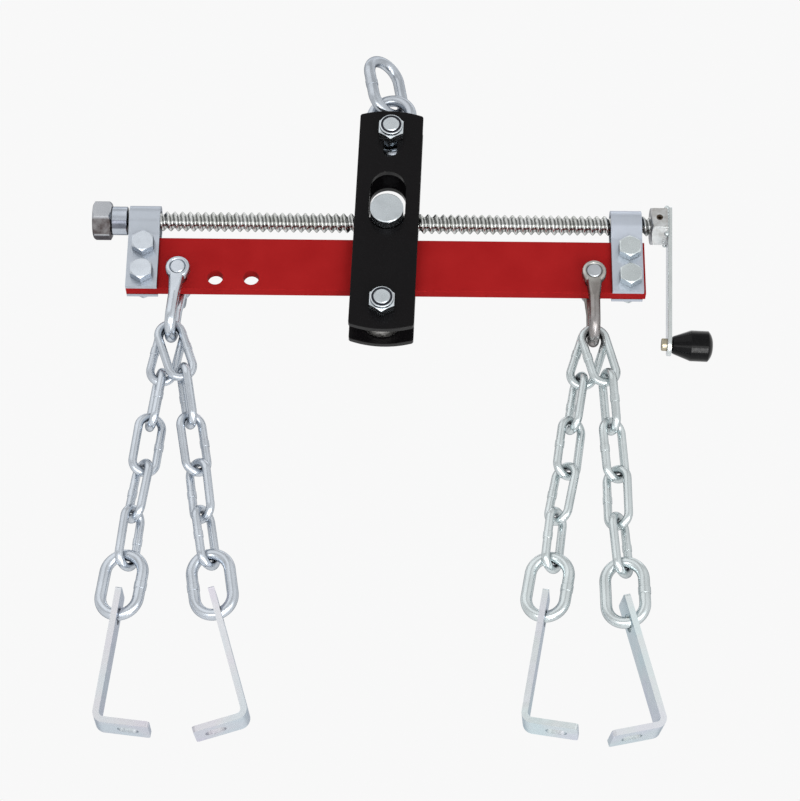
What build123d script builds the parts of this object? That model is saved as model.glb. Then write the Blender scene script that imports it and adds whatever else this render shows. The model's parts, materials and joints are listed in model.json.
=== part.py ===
from build123d import *
from math import cos, radians, sin, sqrt, tan
import os

# Engine load leveler, in millimetres. X runs along the bar, with the crank at +X.
# The carriage nuts face -Y and +Z is up. Pieces are laid out round the middle of the bar
# and written with the lifting eye at the origin.

# Fits
BOLT_CLEARANCE = 0.25       # radial, bolts in plain holes
THREAD_CLEARANCE = 0.05     # radial, nuts on bolts
RUNNING_CLEARANCE = 0.05    # radial, pieces that turn
HANG_CLEARANCE = 0.35       # between pieces that hang in each other
LINK_SLACK = 1.4            # free play where chain links hook together

# Load bar
BAR_LENGTH = 441.0
BAR_HEIGHT = 50.0
BAR_THICKNESS = 10.0
BAR_EDGE_RADIUS = 1.0
SHACKLE_HOLE_DIAMETER = 13.5
SHACKLE_HOLE_INSET = 45.0   # from the end of the bar
HOLE_RISE = 11.5            # hole centres above the lower edge
SPARE_HOLE_PITCH = 30.5
SPARE_HOLE_COUNT = 2

# End straps, bent round the screw
STRAP_WIDTH = 26.5
STRAP_THICKNESS = 4.0
STRAP_SHOULDER = 14.0       # bar top to where the loop begins to narrow
STRAP_FOOT_BEND = 1.5       # bar top to where it has narrowed to the bar
STRAP_BEND_RADIUS = 9.0
STRAP_SCREW_GAP = 0.5
LEFT_STRAP_INSET = 0.0
RIGHT_STRAP_INSET = 2.0
STRAP_BOLT_DIAMETER = 12.0
STRAP_BOLT_FLATS = 18.0
STRAP_HEAD_HEIGHT = 8.5
STRAP_NUT_HEIGHT = 10.0
STRAP_BOLT_PITCH = 26.5
STRAP_BOLT_RISE = 1.8       # middle of the two bolts above the middle of the bar
RIGHT_BOLT_SHIFT = 2.0      # right bolts, outwards from the middle of their strap

# Lead screw
SCREW_RISE = 19.0           # axis above the top of the bar
SCREW_DIAMETER = 17.0
SCREW_ROOT = 11.6
SCREW_PITCH = 6.6
SPIGOT_DIAMETER = 11.0
THREAD_GAP = 0.45           # radial gap in the trunnion nut
COLLAR_GAP = 2.0            # from the end of the bar
COLLAR_DIAMETER = 24.5
COLLAR_LENGTH = 13.5
DRIVE_NUT_FLATS = 30.0
DRIVE_NUT_LENGTH = 16.0
DRIVE_NUT_TURN = 16.5

# Crank
HUB_GAP = 6.0               # from the end of the bar
HUB_FLATS = 31.5
HUB_LENGTH = 14.0
HUB_PIN_DIAMETER = 5.5
HUB_PIN_BORE = 3.2
CRANK_RADIUS = 115.0
CRANK_LEAN = 2.2            # arm leans in towards the bar
ARM_WIDTH = 19.0
ARM_THICKNESS = 3.6
ARM_TOP = 15.5              # above the screw axis
WELD_BEAD_RADIUS = 2.2
WELD_BEAD_PITCH = 3.2
SPINDLE_DIAMETER = 8.0
SPINDLE_HEAD_DIAMETER = 10.5
SPINDLE_HEAD_LENGTH = 4.7
SPINDLE_END_DIAMETER = 11.0
SPINDLE_END_LENGTH = 3.0
KNOB_GAP = 0.5
KNOB_SMALL_DIAMETER = 15.0
KNOB_DIAMETER = 26.0
KNOB_CONE = 15.7
KNOB_BARREL = 14.5
KNOB_DOME = 3.8

# Carriage
PLATE_WIDTH = 55.0
PLATE_THICKNESS = 5.5
PLATE_GAP = 21.5
PLATE_CROWN = 4.5           # rise of the curved ends
PLATE_CORNER = 2.5
PLATE_TOP_MARGIN = 22.5     # beyond the top bolt
PLATE_FOOT_MARGIN = 23.4    # beyond the bottom bolt
PLATE_TILT = 2.0            # top leans towards the crank
TRUNNION_DIAMETER = 28.4
TRUNNION_LENGTH = 54.5
TRUNNION_SLOT_WIDTH = 31.0
TRUNNION_SLOT_HEIGHT = 57.0
TOP_BOLT_RISE = 82.0        # above the trunnion
BOLT_DIAMETER = 14.0
NUT_FLATS = 21.0
NUT_HEIGHT = 14.0
NUT_COLLAR_HEIGHT = 3.5
NUT_COLLAR_DIAMETER = 20.0
INSERT_DIAMETER = 17.8
INSERT_THICKNESS = 2.6
BOLT_HEAD_HEIGHT = 8.8
BOLT_STICK_OUT = 1.1
TOP_SLOT_DROP = 24.0        # end of the slot below the top bolt
TOP_SLOT_WIDTH = 11.5
ROLLER_GAP = 0.9            # under the bar
ROLLER_DIAMETER = 36.0
ROLLER_SIDE_GAP = 0.7
BUSH_DIAMETER = 18.0

# Lifting links
LIFT_WIRE = 10.0
LIFT_LENGTH = 65.5
LIFT_WIDTH = 44.8
LIFT_HOOK = 14.0            # between the hooked crowns
UPPER_LEAN = 10.0
UPPER_TWIST = 42.0
LOWER_TWIST = -10.0

# Shackles
BOW_WIRE = 9.5
EAR_DIAMETER = 20.5
EAR_ROUND = 2.6
NECK_DIAMETER = 15.0
NECK_LENGTH = 24.0          # pin axis to where the leg is down to its wire
PIN_GROOVE = 0.9            # bevel round the pin end and the mouth of its hole
PIN_DIAMETER = 12.5
SHACKLE_JAW = 21.5
SHACKLE_DROP = 60.4         # pin axis to the underside of the bow
EAR_GAP = 0.5               # rear ear behind the bar
PIN_STICK_OUT = 0.3
PIN_COLLAR_DIAMETER = 17.0
PIN_COLLAR_LENGTH = 4.0
PIN_EYE_DIAMETER = 21.0
PIN_EYE_THICKNESS = 7.0
PIN_EYE_BORE = 7.5

# Chains
LINK_WIRE = 7.0
LINK_LENGTH = 57.5
LINK_WIDTH = 27.0
END_WIRE = 9.5
END_LENGTH = 61.5
END_WIDTH = 41.0
LINK_SPREAD = 8.8           # between the two first links on one bow
LINK_SEAT = 3.3             # middle of those two, behind the middle of the bow
WELD_SWELL = 0.4
WELD_LENGTH = 6.0

# Brackets
BRACKET_WIDTH = 25.0
BRACKET_THICKNESS = 5.0
BRACKET_HOLE = 15.0
BRACKET_TOP_MARGIN = 20.5   # above the hole
BRACKET_DROP = 94.0         # hole to the underside of the foot
BRACKET_FOOT = 45.5
BRACKET_BEND = 9.0
BRACKET_CORNER = 2.5
FOOT_SLOT_WIDTH = 10.5
FOOT_SLOT_LENGTH = 17.0
FOOT_SLOT_REACH = 28.5      # outer face to the middle of the slot

# Hanging pose: lean of the shackle, then for each chain the side of the bow it hangs on,
# the leans and the twists of the links and the end link, and the bracket's lean, twist and foot.
# A twist beyond a quarter turn puts the weld of the link on its other leg.
# The first links of both rows (rear 1, front -1) also tip back and have free play on the bow.
SHACKLE_LEAN = {"left": -5.0, "right": -0.5}
CHAINS = {
    "left_outer": (
        "left", 1, (-12.5, -7.0, -6.0, -7.8, -5.0, -7.0), (0, 108, 200, -54, 236, 170), -6.5, 0, 1
    ),
    "left_inner": (
        "left", -1, (19.3, 9.8, 10.0, 8.4, 9.8, 9.0), (180, -74, 210, -44, 56, -10), 16.5, -4, -1
    ),
    "right_inner": (
        "right", 1, (-18.2, -9.3, -8.0, -11.5, -7.0, -10.0), (4, -68, 34, -40, 56, 169), -10.0, -5, 1
    ),
    "right_outer": (
        "right", -1, (15.2, 4.3, 4.2, 0.5, 4.2, 1.0), (4, 110, 36, -38, 236, 166), 13.8, 6, -1
    ),
}
BOW_SLACK = {1: 1.8, -1: 1.1}
ROW_TIPS = {1: (10, 0, 0, 0, 0, 0), -1: (2, 11, 6, 0, 0, 0)}

# Derived places
BAR_END = BAR_LENGTH / 2
BAR_FACE = BAR_THICKNESS / 2
SCREW_Z = BAR_HEIGHT / 2 + SCREW_RISE
HOLE_Z = HOLE_RISE - BAR_HEIGHT / 2
COLLAR_X = -BAR_END - COLLAR_GAP
HUB_X = BAR_END + HUB_GAP
STRAP_X = {
    "left": -BAR_END + LEFT_STRAP_INSET + STRAP_WIDTH / 2,
    "right": BAR_END - RIGHT_STRAP_INSET - STRAP_WIDTH / 2,
}
STRAP_FACE = BAR_FACE + STRAP_THICKNESS
STRAP_BOLT_Z = (STRAP_BOLT_RISE + STRAP_BOLT_PITCH / 2, STRAP_BOLT_RISE - STRAP_BOLT_PITCH / 2)
PLATE_FACE = PLATE_GAP / 2 + PLATE_THICKNESS
BOTTOM_BOLT_DROP = (SCREW_RISE + BAR_HEIGHT + ROLLER_GAP + ROLLER_DIAMETER / 2) / cos(radians(PLATE_TILT))
CARRIAGE = Location((0, 0, SCREW_Z), (0, PLATE_TILT, 0))
CORNER_UP = 30              # turn that puts a corner of a hexagon on top

pieces = {}


def along_x(radius, start, length, y=0.0, z=0.0):
    return Plane(origin=(start, y, z), z_dir=(1, 0, 0)).location * rod(radius, length)


def along_y(radius, start, length, x=0.0, z=0.0):
    return Plane(origin=(x, start, z), z_dir=(0, 1, 0)).location * rod(radius, length)


def rod(radius, length):
    return Cylinder(radius, length, align=(Align.CENTER, Align.CENTER, Align.MIN))


def turned(points):
    """Solid of revolution about Z from (radius, height) points."""
    return revolve(make_face(Plane.XZ * Polyline(*points, close=True)), Axis.Z)


def hexagon(flats, height, low_chamfer, high_chamfer, turn=0.0):
    """Hexagonal prism on Z, its corners turned off at the chosen ends."""
    corner = flats / sqrt(3)
    land = flats * 0.475
    drop = (corner - land) * tan(radians(30))
    low = land if low_chamfer else corner
    high = land if high_chamfer else corner
    low_z = drop if low_chamfer else 0
    high_z = height - drop if high_chamfer else height
    outline = [(0, 0), (low, 0)]
    if low_chamfer:
        outline.append((corner, low_z))
    if high_chamfer:
        outline.append((corner, high_z))
    outline += [(high, height), (0, height)]
    prism = extrude(RegularPolygon(flats / 2, 6, major_radius=False, rotation=turn), height)
    return prism & turned(outline)


def facing(direction, x, y, z):
    """Location with its Z along +Y or -Y, its X along the bar."""
    return Plane(origin=(x, y, z), x_dir=(1, 0, 0), z_dir=(0, direction, 0)).location


def chain_link(wire, length, width, swell):
    """Oval link round the origin: length on Z, width on X, with a weld on one leg."""
    crown = (width - wire) / 2
    leg = length - width
    section = Circle(wire / 2)
    top = revolve(Pos(crown, 0, leg / 2) * section, Axis((0, 0, leg / 2), (0, -1, 0)), 180)
    foot = revolve(Pos(crown, 0, -leg / 2) * section, Axis((0, 0, -leg / 2), (0, 1, 0)), 180)
    legs = [Pos(side * crown, 0, -leg / 2) * rod(wire / 2, leg) for side in (-1, 1)]
    weld = Cylinder(wire / 2 + swell, WELD_LENGTH)
    weld = fillet(weld.edges().filter_by(GeomType.CIRCLE), swell * 0.9)
    return top + foot + legs[0] + legs[1] + Pos(-crown, 0, 0) * weld


def hang(lean, tip=0.0):
    """Direction in which a piece with this lean hangs, tipped back by the second angle."""
    down = cos(radians(tip))
    return Vector(sin(radians(lean)) * down, sin(radians(tip)), -cos(radians(lean)) * down)


def hanging_plane(origin, lean, twist, tip=0.0):
    """Plane at a hanging piece: Z back up the piece, X across it after the twist."""
    level = Vector(cos(radians(lean)), 0, sin(radians(lean)))
    across = level * cos(radians(twist)) + level.cross(hang(lean, tip)) * sin(radians(twist))
    return Plane(origin=origin, x_dir=across, z_dir=-hang(lean, tip))


def thread_section(grow):
    radius = (SCREW_DIAMETER + SCREW_ROOT) / 4 + grow
    offset = (SCREW_DIAMETER - SCREW_ROOT) / 4
    return Face(Wire.make_circle(radius, Plane(origin=(0, 0, offset), x_dir=(0, 1, 0), z_dir=(1, 0, 0))))


def thread_run(grow, length):
    """Round section off the axis, turned once per pitch as it runs along X."""
    turn = 360 * length / SCREW_PITCH
    return Solid.extrude_linear_with_rotation(thread_section(grow), (0, 0, 0), (length, 0, 0), turn)


def threaded_rod(length):
    turns = int(length / SCREW_PITCH)
    one = thread_run(0, SCREW_PITCH)
    rest = thread_run(0, length - turns * SCREW_PITCH)
    side = [face for face in one.faces() if face.geom_type != GeomType.PLANE]
    ends = one.faces().filter_by(GeomType.PLANE).sort_by(Axis.X)
    shell = [face.moved(Location((i * SCREW_PITCH, 0, 0))) for i in range(turns) for face in side]
    last = [face for face in rest.faces() if face.geom_type != GeomType.PLANE]
    last.append(rest.faces().filter_by(GeomType.PLANE).sort_by(Axis.X)[-1])
    shell += [face.moved(Location((turns * SCREW_PITCH, 0, 0))) for face in last]
    return Solid(Shell([ends[0]] + shell))


# Load bar with its bolt, shackle and spare holes
bar = Box(BAR_LENGTH, BAR_THICKNESS, BAR_HEIGHT)
bar = fillet(bar.edges().filter_by(Axis.X), BAR_EDGE_RADIUS)
SHACKLE_X = {"left": -BAR_END + SHACKLE_HOLE_INSET, "right": BAR_END - SHACKLE_HOLE_INSET}
SPARE_X = [SHACKLE_X["left"] + SPARE_HOLE_PITCH * (i + 1) for i in range(SPARE_HOLE_COUNT)]
for x in [*SHACKLE_X.values(), *SPARE_X]:
    bar -= along_y(SHACKLE_HOLE_DIAMETER / 2, -BAR_FACE, BAR_THICKNESS, x, HOLE_Z)
bolt_bore = STRAP_BOLT_DIAMETER / 2 + BOLT_CLEARANCE
STRAP_BOLT_X = {"left": STRAP_X["left"], "right": STRAP_X["right"] + RIGHT_BOLT_SHIFT}
strap_bolt_places = [(x, z) for x in STRAP_BOLT_X.values() for z in STRAP_BOLT_Z]
for x, z in strap_bolt_places:
    bar -= along_y(bolt_bore, -BAR_FACE, BAR_THICKNESS, x, z)
pieces["load_bar"] = bar

# End straps: a strip over the screw, its legs drawn in to the faces of the bar
loop = SCREW_DIAMETER / 2 + STRAP_SCREW_GAP
shoulder = STRAP_SHOULDER - SCREW_RISE
foot_bend = STRAP_FOOT_BEND - SCREW_RISE
below = SCREW_Z + BAR_HEIGHT / 2
leg_line = [(loop, 0), (loop, shoulder), (BAR_FACE, foot_bend), (BAR_FACE, -below)]
legs = make_face(Polyline(*leg_line, *[(-x, y) for x, y in reversed(leg_line)], close=True))
neck = Circle(loop) + legs
bends = [v for v in neck.vertices() if abs(v.Y - shoulder) < 0.01 or abs(v.Y - foot_bend) < 0.01]
neck = fillet(bends, STRAP_BEND_RADIUS)
strip = offset(neck, STRAP_THICKNESS, kind=Kind.ARC) - neck
strip -= Pos(0, -below - BAR_HEIGHT) * Rectangle(BAR_HEIGHT * 2, BAR_HEIGHT * 2)
strap_frame = Plane(origin=(0, 0, SCREW_Z), x_dir=(0, 1, 0), z_dir=(1, 0, 0))
for side, x in STRAP_X.items():
    strap = Pos(x - STRAP_WIDTH / 2, 0, 0) * extrude(strap_frame * strip, STRAP_WIDTH)
    for z in STRAP_BOLT_Z:
        strap -= along_y(bolt_bore, -STRAP_FACE * 2, STRAP_FACE * 4, STRAP_BOLT_X[side], z)
    pieces[side + "_end_strap"] = strap

# Strap bolts and nuts
bolt_reach = STRAP_FACE * 2 + STRAP_NUT_HEIGHT + 2
bolt = hexagon(STRAP_BOLT_FLATS, STRAP_HEAD_HEIGHT, False, True, CORNER_UP)
bolt += Pos(0, 0, -bolt_reach) * rod(STRAP_BOLT_DIAMETER / 2, bolt_reach)
nut = hexagon(STRAP_BOLT_FLATS, STRAP_NUT_HEIGHT, True, True, CORNER_UP)
nut -= rod(STRAP_BOLT_DIAMETER / 2 + THREAD_CLEARANCE, STRAP_NUT_HEIGHT)
pieces["strap_bolts"] = Compound([facing(-1, x, -STRAP_FACE, z) * bolt for x, z in strap_bolt_places])
pieces["strap_nuts"] = Compound([facing(1, x, STRAP_FACE, z) * nut for x, z in strap_bolt_places])

# Lead screw: thread between collar and hub, plain spigots outside
thread_length = HUB_X - COLLAR_X
ARM_X = HUB_X + HUB_LENGTH + HUB_FLATS / sqrt(3) * tan(radians(CRANK_LEAN))
screw = threaded_rod(thread_length).moved(Location((COLLAR_X, 0, SCREW_Z)))
left_spigot = COLLAR_LENGTH + DRIVE_NUT_LENGTH
right_spigot = ARM_X + ARM_THICKNESS - HUB_X
screw += along_x(SPIGOT_DIAMETER / 2, COLLAR_X - left_spigot, left_spigot, z=SCREW_Z)
screw += along_x(SPIGOT_DIAMETER / 2, HUB_X, right_spigot, z=SCREW_Z)
pin_x = HUB_X + HUB_LENGTH / 2
pin_hole = along_y(HUB_PIN_DIAMETER / 2 + THREAD_CLEARANCE, -HUB_FLATS, HUB_FLATS * 2, pin_x, SCREW_Z)
spigot_bore = along_x(SPIGOT_DIAMETER / 2 + THREAD_CLEARANCE, -BAR_LENGTH, BAR_LENGTH * 2, z=SCREW_Z)
pieces["lead_screw"] = screw - pin_hole

# Left end: thrust collar and hex drive nut
collar = along_x(COLLAR_DIAMETER / 2, COLLAR_X - COLLAR_LENGTH, COLLAR_LENGTH, z=SCREW_Z)
collar = fillet(collar.edges(), 0.8)
pieces["thrust_collar"] = collar - spigot_bore
drive_frame = Plane(origin=(COLLAR_X - left_spigot, 0, SCREW_Z), x_dir=(0, 1, 0), z_dir=(1, 0, 0))
drive_nut = hexagon(DRIVE_NUT_FLATS, DRIVE_NUT_LENGTH, True, True, DRIVE_NUT_TURN)
pieces["hex_drive_nut"] = drive_frame.location * drive_nut - spigot_bore

# Right end: hub, cross pin, crank arm, spindle and knob
hub_frame = Plane(origin=(HUB_X, 0, SCREW_Z), x_dir=(0, 1, 0), z_dir=(1, 0, 0))
hub = hub_frame.location * hexagon(HUB_FLATS, HUB_LENGTH, True, False, CORNER_UP)
pieces["crank_hub"] = hub - spigot_bore - pin_hole
hub_pin = along_y(HUB_PIN_DIAMETER / 2, -HUB_FLATS / 2 + 0.3, HUB_FLATS - 0.6, pin_x, SCREW_Z)
hub_pin -= along_y(HUB_PIN_BORE / 2, -HUB_FLATS / 2, HUB_FLATS, pin_x, SCREW_Z)
hub_pin -= Pos(pin_x + HUB_PIN_DIAMETER / 2, 0, SCREW_Z) * Box(HUB_PIN_DIAMETER, HUB_FLATS, 0.8)
pieces["hub_pin"] = hub_pin

ARM_FRAME = Location((ARM_X, 0, SCREW_Z), (0, CRANK_LEAN, 0))
arm_outline = Pos(0, (ARM_TOP - CRANK_RADIUS) / 2) * Rectangle(ARM_WIDTH, ARM_TOP + CRANK_RADIUS)
arm_outline = fillet(arm_outline.vertices().group_by(Axis.Y)[-1], 3)
arm_outline += Pos(0, -CRANK_RADIUS) * Circle(ARM_WIDTH / 2)
arm_outline -= Circle(SPIGOT_DIAMETER / 2 + 0.5)
arm_outline -= Pos(0, -CRANK_RADIUS) * Circle(SPINDLE_DIAMETER / 2 + THREAD_CLEARANCE)
arm = extrude(Plane(origin=(0, 0, 0), x_dir=(0, 1, 0), z_dir=(1, 0, 0)) * arm_outline, ARM_THICKNESS)
arm = chamfer(arm.faces().filter_by(Axis.X).edges(), 0.4)
pieces["crank_arm"] = ARM_FRAME * arm

# Weld beads that join the arm's two edges to the hub
bead_count = int(HUB_FLATS / 2 / WELD_BEAD_PITCH)
bead = Sphere(WELD_BEAD_RADIUS)
run = [Pos(0, 0, i * WELD_BEAD_PITCH) * bead for i in range(-bead_count, bead_count + 1)]
weld = Part() + run
welds = []
for edge in (-1, 1):
    seam = ARM_FRAME * (Pos(-WELD_BEAD_RADIUS / 2, edge * ARM_WIDTH / 2, 0) * weld)
    welds.append(seam - pieces["crank_arm"] - pieces["crank_hub"])
pieces["hub_welds"] = Compound(welds)

knob_length = KNOB_CONE + KNOB_BARREL + KNOB_DOME
cavity = KNOB_CONE + 4
spindle_reach = ARM_THICKNESS + KNOB_GAP + cavity + SPINDLE_END_LENGTH
spindle = along_x(SPINDLE_HEAD_DIAMETER / 2, -SPINDLE_HEAD_LENGTH, SPINDLE_HEAD_LENGTH, z=-CRANK_RADIUS)
spindle = fillet(spindle.edges().group_by(Axis.X)[0], 1.0)
spindle += along_x(SPINDLE_DIAMETER / 2, 0, spindle_reach, z=-CRANK_RADIUS)
end_start = spindle_reach - SPINDLE_END_LENGTH
spindle += along_x(SPINDLE_END_DIAMETER / 2, end_start, SPINDLE_END_LENGTH, z=-CRANK_RADIUS)
pieces["knob_spindle"] = ARM_FRAME * spindle

small = KNOB_SMALL_DIAMETER / 2
large = KNOB_DIAMETER / 2
knob_side = Polyline((small - 1, 0), (small, 1), (large, KNOB_CONE), (large, KNOB_CONE + KNOB_BARREL))
knob_top = ThreePointArc(
    (large, KNOB_CONE + KNOB_BARREL),
    (large * 0.72, KNOB_CONE + KNOB_BARREL + KNOB_DOME * 0.68),
    (0, knob_length),
)
knob_axis = Polyline((0, knob_length), (0, 0), (small - 1, 0))
knob = revolve(make_face(Plane.XZ * (knob_side + knob_top + knob_axis)), Axis.Z)
knob = fillet(knob.edges().filter_by(GeomType.CIRCLE).group_by(Axis.Z)[-2:], 1.2)
knob -= rod(SPINDLE_DIAMETER / 2 + RUNNING_CLEARANCE, cavity)
knob -= Pos(0, 0, cavity - 0.3) * rod(SPINDLE_END_DIAMETER / 2 + HANG_CLEARANCE, SPINDLE_END_LENGTH + 0.6)
knob_frame = Plane(origin=(ARM_THICKNESS + KNOB_GAP, 0, -CRANK_RADIUS), x_dir=(0, 1, 0), z_dir=(1, 0, 0))
pieces["crank_knob"] = ARM_FRAME * (knob_frame.location * knob)

# Carriage side plates: curved ends, long slot for the trunnion, slot under the top bolt
plate_top = TOP_BOLT_RISE + PLATE_TOP_MARGIN
plate_foot = -BOTTOM_BOLT_DROP - PLATE_FOOT_MARGIN
half = PLATE_WIDTH / 2
outline = Polyline((half, plate_foot + PLATE_CROWN), (half, plate_top - PLATE_CROWN))
outline += ThreePointArc((half, plate_top - PLATE_CROWN), (0, plate_top), (-half, plate_top - PLATE_CROWN))
outline += Polyline((-half, plate_top - PLATE_CROWN), (-half, plate_foot + PLATE_CROWN))
outline += ThreePointArc(
    (-half, plate_foot + PLATE_CROWN), (0, plate_foot), (half, plate_foot + PLATE_CROWN)
)
plate = make_face(outline)
plate = fillet(plate.vertices(), PLATE_CORNER)
slot_foot = -TRUNNION_DIAMETER / 2 - HANG_CLEARANCE
slot = SlotOverall(TRUNNION_SLOT_HEIGHT, TRUNNION_SLOT_WIDTH, rotation=90)
plate -= Pos(0, slot_foot + TRUNNION_SLOT_HEIGHT / 2) * slot
bolt_hole = BOLT_DIAMETER + 2 * BOLT_CLEARANCE
plate -= Pos(0, TOP_BOLT_RISE - TOP_SLOT_DROP / 2) * SlotOverall(TOP_SLOT_DROP, TOP_SLOT_WIDTH, rotation=90)
for z in (TOP_BOLT_RISE, -BOTTOM_BOLT_DROP):
    plate -= Pos(0, z) * Circle(bolt_hole / 2)
plate = extrude(Plane(origin=(0, 0, 0), x_dir=(1, 0, 0), z_dir=(0, -1, 0)) * plate, PLATE_THICKNESS)
plate = chamfer(plate.faces().filter_by(Axis.Y).edges(), 0.4)
pieces["front_side_plate"] = CARRIAGE * (Pos(0, -PLATE_GAP / 2, 0) * plate)
pieces["rear_side_plate"] = CARRIAGE * (Pos(0, PLATE_FACE, 0) * plate)

# Carriage bolts, lock nuts and their nylon inserts
shank = 2 * PLATE_FACE + NUT_HEIGHT + BOLT_STICK_OUT
through_bolt = hexagon(NUT_FLATS, BOLT_HEAD_HEIGHT, False, True, CORNER_UP)
through_shank = chamfer(rod(BOLT_DIAMETER / 2, shank).edges().group_by(Axis.Z)[-1], 0.8)
through_bolt += Rot(180, 0, 0) * through_shank
nut_hex = NUT_HEIGHT - NUT_COLLAR_HEIGHT
lock_nut = hexagon(NUT_FLATS, nut_hex, True, True, CORNER_UP)
nut_collar = rod(NUT_COLLAR_DIAMETER / 2, NUT_COLLAR_HEIGHT)
lock_nut += Pos(0, 0, nut_hex) * fillet(nut_collar.edges().group_by(Axis.Z)[-1], 1.0)
lock_nut -= rod(BOLT_DIAMETER / 2 + THREAD_CLEARANCE, NUT_HEIGHT)
lock_nut -= Pos(0, 0, NUT_HEIGHT - INSERT_THICKNESS) * rod(INSERT_DIAMETER / 2, INSERT_THICKNESS)
insert = rod(INSERT_DIAMETER / 2 - THREAD_CLEARANCE, INSERT_THICKNESS - 0.4)
insert -= rod(BOLT_DIAMETER / 2 + THREAD_CLEARANCE, INSERT_THICKNESS)
inserts = []
for name, z in (("top", TOP_BOLT_RISE), ("bottom", -BOTTOM_BOLT_DROP)):
    nut_seat = CARRIAGE * facing(-1, 0, -PLATE_FACE, z)
    pieces[name + "_bolt"] = CARRIAGE * facing(1, 0, PLATE_FACE, z) * through_bolt
    pieces[name + "_lock_nut"] = nut_seat * lock_nut
    inserts.append(nut_seat * (Pos(0, 0, NUT_HEIGHT - INSERT_THICKNESS + THREAD_CLEARANCE) * insert))
pieces["nylon_inserts"] = Compound(inserts)

# Load roller on its spacer bush, under the bar
bush = along_y(BUSH_DIAMETER / 2, -PLATE_GAP / 2, PLATE_GAP, 0, -BOTTOM_BOLT_DROP)
bush -= along_y(BOLT_DIAMETER / 2 + BOLT_CLEARANCE, -PLATE_GAP, PLATE_GAP * 2, 0, -BOTTOM_BOLT_DROP)
pieces["roller_bush"] = CARRIAGE * bush
roller_width = PLATE_GAP - 2 * ROLLER_SIDE_GAP
roller = along_y(ROLLER_DIAMETER / 2, -roller_width / 2, roller_width, 0, -BOTTOM_BOLT_DROP)
roller = fillet(roller.edges(), 1.0)
roller_bore = BUSH_DIAMETER / 2 + RUNNING_CLEARANCE
roller -= along_y(roller_bore, -PLATE_GAP, PLATE_GAP * 2, 0, -BOTTOM_BOLT_DROP)
pieces["load_roller"] = CARRIAGE * roller

# Trunnion nut, threaded across for the screw
trunnion = along_y(TRUNNION_DIAMETER / 2, -TRUNNION_LENGTH / 2, TRUNNION_LENGTH, 0, 0)
trunnion = chamfer(trunnion.edges().filter_by(GeomType.CIRCLE), 0.8)
lead_in = int((-TRUNNION_DIAMETER - COLLAR_X) / SCREW_PITCH) * SCREW_PITCH + COLLAR_X
bore = thread_run(THREAD_GAP, SCREW_PITCH * (int(2 * TRUNNION_DIAMETER / SCREW_PITCH) + 2))
pieces["trunnion_nut"] = Pos(0, 0, SCREW_Z) * (trunnion - Pos(lead_in, 0, 0) * bore)

# Lifting links: the lower one hangs the carriage's top bolt, the upper one is the lifting eye
lift_link = chain_link(LIFT_WIRE, LIFT_LENGTH, LIFT_WIDTH, WELD_SWELL)
lift_reach = LIFT_LENGTH - LIFT_WIRE
TOP_BOLT = (CARRIAGE * Pos(0, 0, TOP_BOLT_RISE)).position
lower_foot = TOP_BOLT - Vector(0, 0, (BOLT_DIAMETER + LIFT_WIRE) / 2 + HANG_CLEARANCE)
lower_top = lower_foot + Vector(0, 0, lift_reach)
LOWER_FRAME = Location(lower_foot) * Rot(0, 0, LOWER_TWIST)
pieces["lower_lifting_link"] = LOWER_FRAME * (Pos(0, 0, lift_reach / 2) * lift_link)
UPPER_FOOT = lower_top - Vector(0, 0, LIFT_HOOK)
UPPER_FRAME = Location(UPPER_FOOT) * Rot(0, -UPPER_LEAN, 0) * Rot(0, 0, UPPER_TWIST)
pieces["upper_lifting_link"] = UPPER_FRAME * (Pos(0, 0, lift_reach / 2) * lift_link)
EYE = (UPPER_FRAME * Pos(0, 0, lift_reach - (LIFT_WIDTH - LIFT_WIRE) / 2)).position

# Shackles: bow and pin, round the pin axis
bow_radius = (SHACKLE_JAW + BOW_WIRE) / 2
bow_y = BAR_FACE + EAR_GAP - SHACKLE_JAW / 2
bow_leg = SHACKLE_DROP - BOW_WIRE / 2 - bow_radius
bow_section = Pos(0, bow_radius, -bow_leg) * Circle(BOW_WIRE / 2)
bow = revolve(bow_section, Axis((0, 0, -bow_leg), (-1, 0, 0)), 180)
for side in (-1, 1):
    bow += Pos(0, side * bow_radius, -bow_leg) * rod(BOW_WIRE / 2, bow_leg)
    ear = along_y(EAR_DIAMETER / 2, side * bow_radius - BOW_WIRE / 2, BOW_WIRE)
    bow += fillet(ear.edges().filter_by(GeomType.CIRCLE), EAR_ROUND)
    flare = Pos(0, 0, -NECK_LENGTH / 2) * Cone(BOW_WIRE / 2, NECK_DIAMETER / 2, NECK_LENGTH)
    bow += Pos(0, side * bow_radius, 0) * (flare & Box(EAR_DIAMETER, BOW_WIRE, NECK_LENGTH * 3))
pin_bore = PIN_DIAMETER / 2 + THREAD_CLEARANCE
bow -= along_y(pin_bore, -SHACKLE_DROP, SHACKLE_DROP * 2)
ear_face = SHACKLE_JAW / 2 + BOW_WIRE
mouth = Cone(pin_bore, pin_bore + PIN_GROOVE, PIN_GROOVE, align=(Align.CENTER, Align.CENTER, Align.MAX))
bow -= facing(-1, 0, -ear_face, 0) * mouth
pin_front = -ear_face - PIN_STICK_OUT
pin_seat = ear_face + 0.1
pin = along_y(PIN_DIAMETER / 2, pin_front, pin_seat - pin_front)
pin = chamfer(pin.edges().group_by(Axis.Y)[0], PIN_GROOVE)
pin += along_y(PIN_COLLAR_DIAMETER / 2, pin_seat, PIN_COLLAR_LENGTH)
eye_y = pin_seat + PIN_COLLAR_LENGTH + PIN_EYE_DIAMETER / 2 - 2
eye = Pos(0, eye_y, 0) * Cylinder(PIN_EYE_DIAMETER / 2, PIN_EYE_THICKNESS, rotation=(0, 90, 0))
eye = fillet(eye.edges().filter_by(GeomType.CIRCLE), 1.5)
eye -= Pos(0, eye_y, 0) * Cylinder(PIN_EYE_BORE / 2, PIN_EYE_THICKNESS * 2, rotation=(0, 90, 0))
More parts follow.
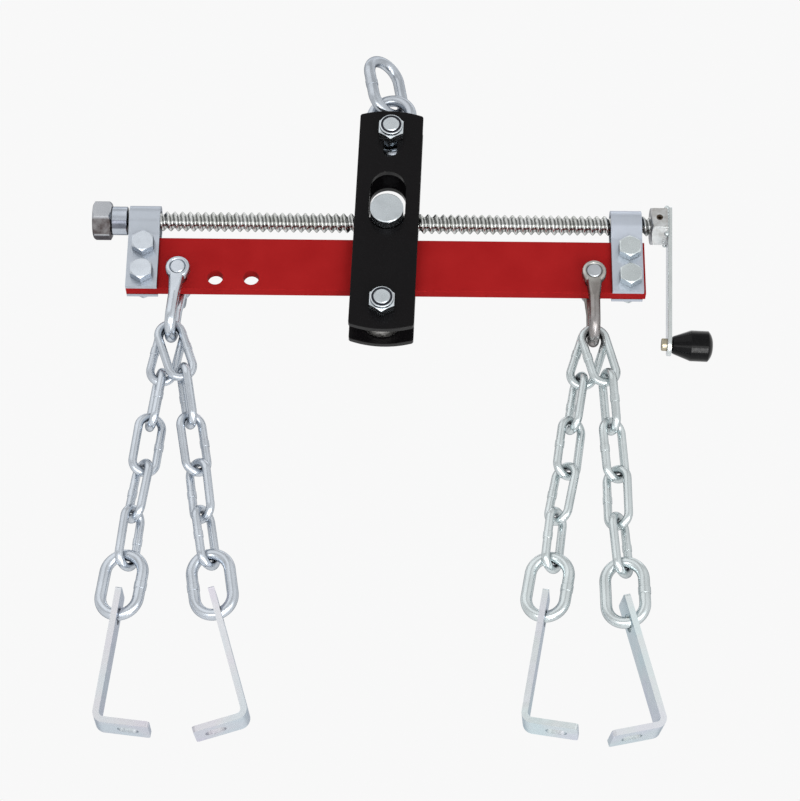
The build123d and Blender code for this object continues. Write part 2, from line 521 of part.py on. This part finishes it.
eye -= along_y(PIN_EYE_DIAMETER, -SHACKLE_DROP, SHACKLE_DROP + pin_seat)
pin += eye
PIN_Z = HOLE_Z - (SHACKLE_HOLE_DIAMETER - PIN_DIAMETER) / 2 + RUNNING_CLEARANCE
SHACKLE_FRAME = {}
for side, lean in SHACKLE_LEAN.items():
    SHACKLE_FRAME[side] = Location((SHACKLE_X[side], bow_y, PIN_Z), (0, -lean, 0))
    pieces[side + "_shackle_bow"] = SHACKLE_FRAME[side] * bow
    pieces[side + "_shackle_pin"] = SHACKLE_FRAME[side] * pin

# L bracket round its hole: thickness on X, width on Y, foot towards +X
inner = BRACKET_THICKNESS / 2
foot_top = BRACKET_THICKNESS - BRACKET_DROP
foot_end = BRACKET_FOOT - inner
profile = Polyline(
    (-inner, BRACKET_TOP_MARGIN),
    (inner, BRACKET_TOP_MARGIN),
    (inner, foot_top),
    (foot_end, foot_top),
    (foot_end, -BRACKET_DROP),
    (-inner, -BRACKET_DROP),
    close=True,
)
profile = make_face(profile)
bend_outside = [v for v in profile.vertices() if abs(v.X + inner) < 0.01 and abs(v.Y + BRACKET_DROP) < 0.01]
profile = fillet(bend_outside, BRACKET_BEND)
bend_inside = [v for v in profile.vertices() if abs(v.X - inner) < 0.01 and abs(v.Y - foot_top) < 0.01]
profile = fillet(bend_inside, BRACKET_BEND - BRACKET_THICKNESS)
bracket_frame = Plane(origin=(0, BRACKET_WIDTH / 2, 0), x_dir=(1, 0, 0), z_dir=(0, -1, 0))
bracket = extrude(bracket_frame * profile, BRACKET_WIDTH)
top_corners = bracket.edges().filter_by(Axis.X).group_by(Axis.Z)[-1]
foot_corners = bracket.edges().filter_by(Axis.Z).group_by(Axis.X)[-1]
bracket = fillet(top_corners + foot_corners, BRACKET_CORNER)
bracket -= Cylinder(BRACKET_HOLE / 2, BRACKET_THICKNESS * 3, rotation=(0, 90, 0))
foot_slot = extrude(SlotOverall(FOOT_SLOT_LENGTH, FOOT_SLOT_WIDTH), BRACKET_THICKNESS * 2, both=True)
bracket -= Pos(FOOT_SLOT_REACH - inner, 0, -BRACKET_DROP) * foot_slot

# Chains
small_link = chain_link(LINK_WIRE, LINK_LENGTH, LINK_WIDTH, WELD_SWELL)
end_link = chain_link(END_WIRE, END_LENGTH, END_WIDTH, WELD_SWELL)
hole_drop = (BRACKET_HOLE - END_WIRE) / 8
end_crown = (END_WIDTH - END_WIRE) / 2
HOOKS = {}
BRACKET_SEAT = {}
for chain, (side, row, leans, twists, bracket_lean, bracket_twist, foot) in CHAINS.items():
    spread = LINK_SEAT + row * LINK_SPREAD / 2
    sag = sqrt(bow_radius ** 2 - spread ** 2)
    hook = (SHACKLE_FRAME[side] * Pos(0, spread, -bow_leg - sag)).position
    above = BOW_WIRE
    HOOKS[chain] = [hook]
    for number, (lean, twist, tip) in enumerate(zip(leans, twists, ROW_TIPS[row]), 1):
        last = number == len(leans)
        wire = END_WIRE if last else LINK_WIRE
        reach = (END_LENGTH if last else LINK_LENGTH) - wire
        slack = BOW_SLACK[row] if number == 1 else LINK_SLACK
        down = hang(lean, tip)
        top = hook - down * ((above + wire) / 2 + slack)
        quarter = (twist + 90) % 180 - 90
        place = hanging_plane(top + down * (reach / 2), lean, quarter, tip)
        name = "end_link" if last else "link_%d" % number
        link = end_link if last else small_link
        pieces[chain + "_" + name] = place.location * (Rot(0, 0, twist - quarter) * link)
        hook = top + down * reach
        HOOKS[chain].append(hook)
        above = wire
    # the bracket slides along the crown until the wire runs square through its hole
    along = radians(bracket_lean - leans[-1])
    crown = hook - down * end_crown
    seat = crown + (down * cos(along) + place.x_dir * sin(along)) * end_crown
    BRACKET_SEAT[chain] = (seat, place.x_dir * cos(along) - down * sin(along))
    hole = seat + hang(bracket_lean) * hole_drop
    turn = bracket_twist if foot > 0 else bracket_twist + 180
    pieces[chain + "_bracket"] = hanging_plane(hole, bracket_lean, turn).location * bracket

os.makedirs("parts", exist_ok=True)
for name, shape in pieces.items():
    export_step(shape.moved(Location(-EYE)), "parts/" + name + ".step")
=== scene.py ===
import json
import math

import bpy
from mathutils import Matrix, Vector


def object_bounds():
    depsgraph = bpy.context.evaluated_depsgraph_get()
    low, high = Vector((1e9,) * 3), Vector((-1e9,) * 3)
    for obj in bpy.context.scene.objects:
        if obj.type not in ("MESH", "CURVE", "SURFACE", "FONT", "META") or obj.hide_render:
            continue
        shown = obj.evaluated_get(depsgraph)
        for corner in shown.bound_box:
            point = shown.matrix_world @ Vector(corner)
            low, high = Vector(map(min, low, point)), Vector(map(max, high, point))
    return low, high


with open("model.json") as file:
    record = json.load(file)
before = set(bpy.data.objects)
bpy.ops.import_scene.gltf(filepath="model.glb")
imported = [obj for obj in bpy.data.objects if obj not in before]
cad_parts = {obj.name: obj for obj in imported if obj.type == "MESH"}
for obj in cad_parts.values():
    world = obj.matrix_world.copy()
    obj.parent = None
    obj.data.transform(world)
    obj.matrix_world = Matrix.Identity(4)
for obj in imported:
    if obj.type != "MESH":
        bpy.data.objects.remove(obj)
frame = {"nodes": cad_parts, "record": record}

cad_low, cad_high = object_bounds()
scene = bpy.context.scene
nodes = frame["nodes"]

# Sockets of the Mix node when it mixes colours.
MIX_FACTOR, MIX_FIRST, MIX_SECOND, MIX_RESULT = 0, 6, 7, 2
CREVICE_SAMPLES = 4
SIDE_BLEND = 0.1  # metres either side of the middle, where the left tone turns into the right one
THREAD_DEPTH = 0.0027  # metres from the crests to the core of the lead screw
TOOL_RINGS = (2600.0, 60.0, 60.0)  # fine along the screw axis, long round it


class Surface:
    """A node-based material whose pattern is fixed to the piece, with scales per metre."""

    def __init__(self, name, metallic=0.0, **sockets):
        self.material = bpy.data.materials.new(name)
        self.material.use_nodes = True
        self.tree = self.material.node_tree
        self.shader = self.tree.nodes["Principled BSDF"]
        self.shader.inputs["Metallic"].default_value = metallic
        for socket, value in sockets.items():
            self.shader.inputs[socket.replace("_", " ")].default_value = value
        self.place = self.tree.nodes.new("ShaderNodeTexCoord").outputs["Object"]

    def node(self, kind, inputs=None, **settings):
        made = self.tree.nodes.new("ShaderNode" + kind)
        for key, value in settings.items():
            setattr(made, key, value)
        for key, value in (inputs or {}).items():
            if isinstance(value, bpy.types.NodeSocket):
                self.tree.links.new(value, made.inputs[key])
            else:
                made.inputs[key].default_value = value
        return made

    def link(self, socket, output):
        self.tree.links.new(output, self.shader.inputs[socket])

    def noise(self, scale, detail, rough=0.5, vector=None):
        inputs = {"Vector": vector or self.place, "Scale": scale}
        inputs.update({"Detail": detail, "Roughness": rough})
        return self.node("TexNoise", inputs).outputs["Fac"]

    def ramp(self, factor, *stops):
        """Colours or greys at rising values of the factor."""
        made = self.node("ValToRGB", {"Fac": factor})
        points = made.color_ramp.elements
        while len(points) < len(stops):
            points.new(0.5)
        for point, (at, colour) in zip(points, stops):
            point.position = at
            grey = isinstance(colour, (int, float))
            point.color = (colour, colour, colour, 1) if grey else (*colour, 1)
        return made.outputs["Color"]

    def mix(self, factor, first, second, blend="MIX"):
        made = self.node("Mix", data_type="RGBA", blend_type=blend)
        for index, value in ((MIX_FACTOR, factor), (MIX_FIRST, first), (MIX_SECOND, second)):
            if isinstance(value, bpy.types.NodeSocket):
                self.tree.links.new(value, made.inputs[index])
            elif index == MIX_FACTOR:
                made.inputs[index].default_value = value
            else:
                made.inputs[index].default_value = (*value, 1)
        return made.outputs[MIX_RESULT]

    def crevice(self, reach):
        """1 in the open, falling to 0 where other surfaces are nearer than the reach."""
        inputs = {"Distance": reach}
        return self.node("AmbientOcclusion", inputs, samples=CREVICE_SAMPLES).outputs["AO"]

    def level(self, value, low, high):
        """0 where the value is low, 1 where it is high."""
        inputs = {"Value": value, "From Min": low, "From Max": high}
        return self.node("MapRange", inputs).outputs["Result"]

    def along(self, axis):
        return self.node("SeparateXYZ", {"Vector": self.place}).outputs[axis]

    def by_side(self, left, right):
        """Colour that passes from the left half of the object to the right half."""
        return self.ramp(self.level(self.along("X"), -SIDE_BLEND, SIDE_BLEND), (0.0, left), (1.0, right))

    def by_height(self, piece, *stops):
        """Colour by the height in the piece, 0 at its foot and 1 at its top."""
        heights = [corner[2] for corner in piece.bound_box]
        return self.ramp(self.level(self.along("Z"), min(heights), max(heights)), *stops)

    def clouds(self, tint, pale):
        """Soft clouds of two tones."""
        return self.ramp(self.noise(45, 3), (0.35, tint), (0.62, pale))

    def roughen(self, scale, detail, low, high):
        """Let the roughness drift between two values."""
        self.link("Roughness", self.ramp(self.noise(scale, detail), (0.3, low), (0.7, high)))

    def bump(self, strength, distance, *heights):
        normal = None
        for height in heights:
            inputs = {"Strength": strength, "Distance": distance, "Height": height}
            if normal is not None:
                inputs["Normal"] = normal
            normal = self.node("Bump", inputs).outputs["Normal"]
        self.link("Normal", normal)

    def plate(self, colour, crevice_shade, rough):
        """Finish a plated metal: grain, painted shade in the crevices, cloudy roughness, a faint ripple.
        """
        grain = self.ramp(self.noise(900, 2), (0.35, 0.6), (0.6, 1.0))
        # Painted shade: the colour turns to the dark crevice colour where other surfaces are near.
        unshaded = self.ramp(self.crevice(0.003), (0.12, 0.0), (0.6, 1.0))
        self.link("Base Color", self.mix(unshaded, crevice_shade, self.mix(0.06, colour, grain, "MULTIPLY")))
        self.roughen(150, 2, *rough)
        self.bump(0.015, 0.0003, self.noise(420, 1), self.noise(90, 1))
        return self.material

    def machined(self, colour, rough):
        """Finish a turned metal, with the rings that the tool leaves round the screw axis."""
        self.link("Base Color", colour)
        self.roughen(400, 4, *rough)
        stretched = self.node("Mapping", {"Vector": self.place, "Scale": TOOL_RINGS})
        self.bump(0.08, 0.0002, self.noise(1.0, 3, vector=stretched.outputs["Vector"]))
        return self.material


def plated(name, pale, tint, crevice_shade, rough, stain_and_shade=None, edge=0.35):
    """Zinc plate: soft clouds of tint, darker edges and, where asked for, patches of stain."""
    s = Surface(name, metallic=1.0, Specular_Tint=(edge, edge, edge * 1.05, 1))
    colour = s.clouds(tint, pale)
    if stain_and_shade:
        patches = s.ramp(s.noise(38, 5, 0.65), (0.46, 0.0), (0.64, 0.85))
        colour = s.mix(patches, colour, stain_and_shade)
    return s.plate(colour, crevice_shade, rough)


def shade_banded_plate(name, piece, band, pale, stain_and_shade, crevice_shade, rough, edge):
    """Pale plate with a band of painted shade, which comes in and fades out at the four heights of band.
    """
    s = Surface(name, metallic=1.0, Specular_Tint=(edge, edge, edge * 1.05, 1))
    # Painted shade: a dark, patchy band over the given heights of the piece.
    shade_band = s.by_height(piece, *zip(band, (0.0, 1.0, 1.0, 0.0)))
    patches = s.ramp(s.noise(130, 5, 0.65), *zip((0.38, 0.6), stain_and_shade))
    return s.plate(s.mix(shade_band, s.clouds(*pale), patches), crevice_shade, rough)


def chain_plate():
    """Zinc of the chains and fasteners, bluer on the left and greener on the right."""
    s = Surface("zinc_plate", metallic=1.0, Specular_Tint=(0.3, 0.31, 0.33, 1))
    tone = s.by_side((0.60, 0.645, 0.70), (0.65, 0.705, 0.715))
    colour = s.mix(1.0, tone, s.clouds(0.88, 1.0), "MULTIPLY")
    return s.plate(colour, crevice_shade=(0.12, 0.12, 0.13), rough=(0.22, 0.3))


def bracket_plate():
    """Thin bright plate, bluer on the left and greener on the right, with a film of faint colours."""
    s = Surface("bracket_plate", metallic=1.0, Specular_Tint=(0.44, 0.49, 0.55, 1))
    green, plain, lilac = (0.95, 1.0, 1.0), (1.0, 0.99, 0.985), (1.0, 0.95, 0.995)
    film = s.ramp(s.noise(26, 3, 0.45), (0.36, green), (0.5, plain), (0.64, lilac))
    colour = s.mix(1.0, s.by_side((0.73, 0.745, 0.78), (0.76, 0.815, 0.83)), film, "MULTIPLY")
    return s.plate(colour, crevice_shade=(0.24, 0.23, 0.24), rough=(0.24, 0.34))


def worn_plate(piece):
    """Dull plate, pale at the ear and a browner grey down the legs."""
    s = Surface("worn_plate", metallic=1.0, Specular_Tint=(0.2, 0.2, 0.2, 1))
    bow, legs, neck, ear = (
        (0.36, 0.345, 0.345), (0.29, 0.275, 0.27), (0.34, 0.325, 0.31), (0.56, 0.56, 0.53),
    )
    zone = s.by_height(piece, (0.1, bow), (0.45, legs), (0.68, neck), (0.8, ear))
    patches = s.ramp(s.noise(90, 4, 0.6), (0.4, 0.0), (0.7, 0.7))
    colour = s.mix(patches, zone, (0.2, 0.18, 0.165))
    return s.plate(colour, crevice_shade=(0.05, 0.05, 0.05), rough=(0.24, 0.34))


def red_enamel():
    """Smooth red paint with fine specks, darker where pieces meet it."""
    s = Surface("red_enamel", Specular_IOR_Level=0.002)
    tone = s.ramp(s.noise(40, 4), (0.3, (0.275, 0.0105, 0.0112)), (0.7, (0.305, 0.013, 0.0135)))
    speck = s.ramp(s.noise(2200, 2), (0.3, 0.86), (0.55, 1.0))
    shade = s.ramp(s.crevice(0.006), (0.2, 0.4), (0.8, 1.0))
    s.link("Base Color", s.mix(1.0, s.mix(0.5, tone, speck, "MULTIPLY"), shade, "MULTIPLY"))
    s.roughen(300, 3, 0.3, 0.42)
    s.bump(0.05, 0.0004, s.noise(420, 2))
    return s.material


def black_enamel():
    """Glossy black paint with a little dust."""
    s = Surface("black_enamel", Specular_IOR_Level=0.1)
    black, dust = (0.0036, 0.0032, 0.0037), (0.016, 0.015, 0.016)
    s.link("Base Color", s.ramp(s.noise(1800, 4, 0.7), (0.58, black), (0.8, dust)))
    s.roughen(160, 4, 0.2, 0.3)
    s.bump(0.05, 0.0004, s.noise(380, 2))
    return s.material


def moulded(name, colour, rough, shine):
    """Even surface with fine paler specks."""
    s = Surface(name, Specular_IOR_Level=shine)
    pale = tuple(2.2 * c + 0.004 for c in colour)
    s.link("Base Color", s.ramp(s.noise(700, 4, 0.7), (0.5, colour), (0.8, pale)))
    s.roughen(420, 4, rough, rough + 0.12)
    s.bump(0.02, 0.0003, s.noise(500, 2))
    return s.material


def turned_steel():
    """Bare machined steel with painted shade in the crevices."""
    s = Surface("turned_steel", metallic=1.0, Specular_Tint=(0.4, 0.4, 0.4, 1))
    cloud = s.ramp(s.noise(80, 4), (0.3, (0.42, 0.41, 0.4)), (0.65, (0.56, 0.55, 0.53)))
    # Painted shade: the steel turns near black where other surfaces are near.
    unshaded = s.ramp(s.crevice(0.005), (0.3, 0.0), (0.82, 1.0))
    return s.machined(s.mix(unshaded, (0.05, 0.05, 0.05), cloud), rough=(0.25, 0.4))


def thread_plate(piece):
    """Bright crests and core with painted shade on the flanks, by the distance from the screw's own
    axis.
    """
    s = Surface("screw_plate", metallic=1.0, Specular_Tint=(0.4, 0.4, 0.4, 1))
    low, high = (Vector(map(end, zip(*piece.bound_box))) for end in (min, max))
    axis = (low + high) / 2
    crest = (high.z - low.z) / 2
    onto_axis = {"Vector": s.place, "Location": (0, -axis.y, -axis.z), "Scale": (0, 1, 1)}
    outward = s.node("Mapping", onto_axis).outputs["Vector"]
    radius = s.node("VectorMath", {"Vector": outward}, operation="LENGTH").outputs["Value"]
    depth = s.level(radius, crest - THREAD_DEPTH, crest)
    # Painted shade: the flanks between crest and core are darker than either.
    flank_shade = s.ramp(depth, (0.2, 0.9), (0.32, 0.34), (0.46, 0.42), (0.6, 1.0))
    worn = s.ramp(s.noise(80, 4), (0.3, (0.5, 0.51, 0.49)), (0.65, (0.66, 0.67, 0.665)))
    return s.machined(s.mix(1.0, worn, flank_shade, "MULTIPLY"), rough=(0.14, 0.24))


# One look for each material slot of the record.
looks = {
    "red_paint": red_enamel(),
    "black_paint": black_enamel(),
    "black_knob": moulded("black_plastic", (0.002, 0.002, 0.0025), rough=0.08, shine=0.14),
    "nylon": moulded("dark_nylon", (0.012, 0.013, 0.02), rough=0.45, shine=0.2),
    "screw_zinc": thread_plate(nodes["lead_screw"]),
    "steel": turned_steel(),
    "bracket_zinc": bracket_plate(),
    "grey_zinc": worn_plate(nodes["right_shackle_bow"]),
    "yellow_zinc": plated(
        "yellow_plate", pale=(0.52, 0.48, 0.37), tint=(0.42, 0.37, 0.26),
        crevice_shade=(0.1, 0.08, 0.05), rough=(0.22, 0.36),
    ),
    "zinc": chain_plate(),
}
lifting_plate = plated(
    "lift_plate", pale=(0.52, 0.56, 0.61), tint=(0.44, 0.475, 0.52),
    crevice_shade=(0.1, 0.1, 0.11), rough=(0.22, 0.3), edge=0.25,
)
# Pieces whose look departs from that of their slot.
own_look = {
    "crank_hub": plated(
        "hub_plate", pale=(0.72, 0.74, 0.745), tint=(0.58, 0.6, 0.6),
        crevice_shade=(0.1, 0.09, 0.08), rough=(0.26, 0.36), stain_and_shade=(0.36, 0.34, 0.32),
    ),
    "crank_arm": plated(
        "arm_plate", pale=(0.68, 0.72, 0.72), tint=(0.63, 0.67, 0.67),
        crevice_shade=(0.1, 0.1, 0.1), rough=(0.24, 0.32), edge=0.8,
    ),
    # The nut and the collar get a band of painted shade at the band heights, in the two dark tones
    # given.
    "hex_drive_nut": shade_banded_plate(
        "nut_plate", nodes["hex_drive_nut"], band=(0.0, 0.03, 0.29, 0.34),
        pale=((0.44, 0.46, 0.49), (0.485, 0.5, 0.53)),
        stain_and_shade=((0.09, 0.076, 0.076), (0.2, 0.192, 0.196)),
        crevice_shade=(0.08, 0.075, 0.07), rough=(0.18, 0.28), edge=0.35,
    ),
    "thrust_collar": shade_banded_plate(
        "collar_plate", nodes["thrust_collar"], band=(0.04, 0.065, 0.26, 0.3),
        pale=((0.44, 0.48, 0.54), (0.52, 0.56, 0.625)),
        stain_and_shade=((0.11, 0.12, 0.145), (0.17, 0.18, 0.215)),
        crevice_shade=(0.08, 0.075, 0.07), rough=(0.22, 0.3), edge=0.2,
    ),
    "left_end_strap": plated(
        "left_strap_plate", pale=(0.49, 0.53, 0.59), tint=(0.475, 0.515, 0.57),
        crevice_shade=(0.12, 0.12, 0.13), rough=(0.36, 0.44),
    ),
    "right_end_strap": plated(
        "right_strap_plate", pale=(0.555, 0.60, 0.675), tint=(0.53, 0.575, 0.645),
        crevice_shade=(0.12, 0.12, 0.13), rough=(0.36, 0.44),
    ),
    "upper_lifting_link": lifting_plate,
    "lower_lifting_link": lifting_plate,
    "right_shackle_pin": plated(
        "pin_plate", pale=(0.56, 0.59, 0.62), tint=(0.46, 0.49, 0.52),
        crevice_shade=(0.08, 0.08, 0.08), rough=(0.28, 0.36),
    ),
    "hub_pin": moulded("old_pin", (0.045, 0.032, 0.022), rough=0.6, shine=0.2),
}
for row in frame["record"]["subparts"]:
    piece = nodes[row["node"]]
    piece.data.materials.clear()
    piece.data.materials.append(own_look.get(row["node"]) or looks[row["material_slot"]])


def lay_floor(height, reach, colour, rough):
    corners = [(reach * x, reach * y, height) for x, y in ((-1, -1), (1, -1), (1, 1), (-1, 1))]
    mesh = bpy.data.meshes.new("floor")
    mesh.from_pydata(corners, [], [tuple(range(len(corners)))])
    made = bpy.data.objects.new("floor", mesh)
    scene.collection.objects.link(made)
    s = Surface("floor_paint", Roughness=rough)
    pale = tuple(c * 1.01 for c in colour)
    s.link("Base Color", s.ramp(s.noise(3, 2), (0.3, colour), (0.7, pale)))
    mesh.materials.append(s.material)


def lamp(name, place, target, size, watts):
    data = bpy.data.lights.new(name, "AREA")
    data.shape = "RECTANGLE"
    data.size, data.size_y = size
    data.energy = watts
    made = bpy.data.objects.new(name, data)
    made.location = place
    made.rotation_euler = (Vector(target) - Vector(place)).to_track_quat("-Z", "Y").to_euler()
    scene.collection.objects.link(made)


def box_middle(piece):
    corners = [piece.matrix_world @ Vector(corner) for corner in piece.bound_box]
    return sum(corners, Vector()) / len(corners)


lay_floor(height=-1.42, reach=30.0, colour=(0.94, 0.94, 0.94), rough=0.9)
middle = (cad_low + cad_high) / 2
knob = box_middle(nodes["crank_knob"])
lamp("key", (-1.3, -1.5, 1.1), middle, size=(2.8, 2.2), watts=10)
lamp("fill", (1.6, -1.6, 0.2), middle, size=(2.2, 2.6), watts=5.2)
lamp("low", (0.2, -1.0, -1.38), middle, size=(2.6, 1.2), watts=25)
lamp("top", (0.1, 0.5, 1.4), middle, size=(2.6, 1.6), watts=8)
lamp("under", (0.1, 1.6, -1.38), middle, size=(2.4, 1.6), watts=3.5)
lamp("spark", (0.33, -0.5, -1.3), knob, size=(0.1, 0.9), watts=3)

world = bpy.data.worlds.new("studio")
scene.world = world
world.use_nodes = True
tree = world.node_tree
tree.nodes.clear()
direction = tree.nodes.new("ShaderNodeSeparateXYZ")
tree.links.new(tree.nodes.new("ShaderNodeTexCoord").outputs["Generated"], direction.inputs[0])


def shell(axis, strength, stops):
    """World light that changes along one axis, from -1 to 1."""
    spread = tree.nodes.new("ShaderNodeMapRange")
    spread.inputs["From Min"].default_value = -1.0
    tree.links.new(direction.outputs[axis], spread.inputs["Value"])
    ramp = tree.nodes.new("ShaderNodeValToRGB")
    tree.links.new(spread.outputs["Result"], ramp.inputs["Fac"])
    points = ramp.color_ramp.elements
    while len(points) < len(stops):
        points.new(0.5)
    for point, (at, level) in zip(points, stops):
        point.position = (at + 1) / 2
        point.color = (level, level, level, 1)
    made = tree.nodes.new("ShaderNodeBackground")
    made.inputs["Strength"].default_value = strength
    tree.links.new(ramp.outputs["Color"], made.inputs["Color"])
    return made.outputs[0]


def either(first, second):
    made = tree.nodes.new("ShaderNodeMath")
    made.operation = "MAXIMUM"
    tree.links.new(first, made.inputs[0])
    tree.links.new(second, made.inputs[1])
    return made.outputs[0]


# The room lights the paint by height; the camera and the metal see the paper, by depth.
room = shell("Z", 0.95, ((-1.0, 0.30), (-0.24, 0.42), (0.1, 0.62), (0.5, 0.9), (1.0, 0.95)))
paper = shell("Y", 1.0, ((-1.0, 0.72), (-0.55, 0.62), (-0.1, 0.80), (0.25, 0.94), (1.0, 0.94)))
path = tree.nodes.new("ShaderNodeLightPath").outputs
seen = either(either(path["Is Camera Ray"], path["Is Glossy Ray"]), path["Is Transmission Ray"])
choose = tree.nodes.new("ShaderNodeMixShader")
tree.links.new(seen, choose.inputs["Fac"])
tree.links.new(room, choose.inputs[1])
tree.links.new(paper, choose.inputs[2])
tree.links.new(choose.outputs[0], tree.nodes.new("ShaderNodeOutputWorld").inputs["Surface"])

LOOK_UP = math.radians(26.5)
ROLL = math.radians(0.6)
FOCAL_PIXELS = 2550.0
LONG_SIDE = 801  # pixels of the photo's longer side, which Blender fits to the sensor
FROM_BAR = Vector((0.013, -1.8962, -1.0713))  # metres from the middle of the bar to the camera
ahead = Vector((0, math.cos(LOOK_UP), math.sin(LOOK_UP)))
above = Vector((0, -math.sin(LOOK_UP), math.cos(LOOK_UP)))
right = Vector((math.cos(ROLL), 0, 0)) + above * math.sin(ROLL)
upward = above * math.cos(ROLL) - Vector((math.sin(ROLL), 0, 0))
turn = Matrix((right, upward, -ahead)).transposed().to_4x4()
camera_data = bpy.data.cameras.new("photo_camera")
camera_data.sensor_width = 36.0
camera_data.lens = FOCAL_PIXELS / LONG_SIDE * camera_data.sensor_width
camera = bpy.data.objects.new("photo_camera", camera_data)
camera.matrix_world = Matrix.Translation(box_middle(nodes["load_bar"]) + FROM_BAR) @ turn
scene.collection.objects.link(camera)
scene.camera = camera
scene.view_settings.view_transform = "Standard"
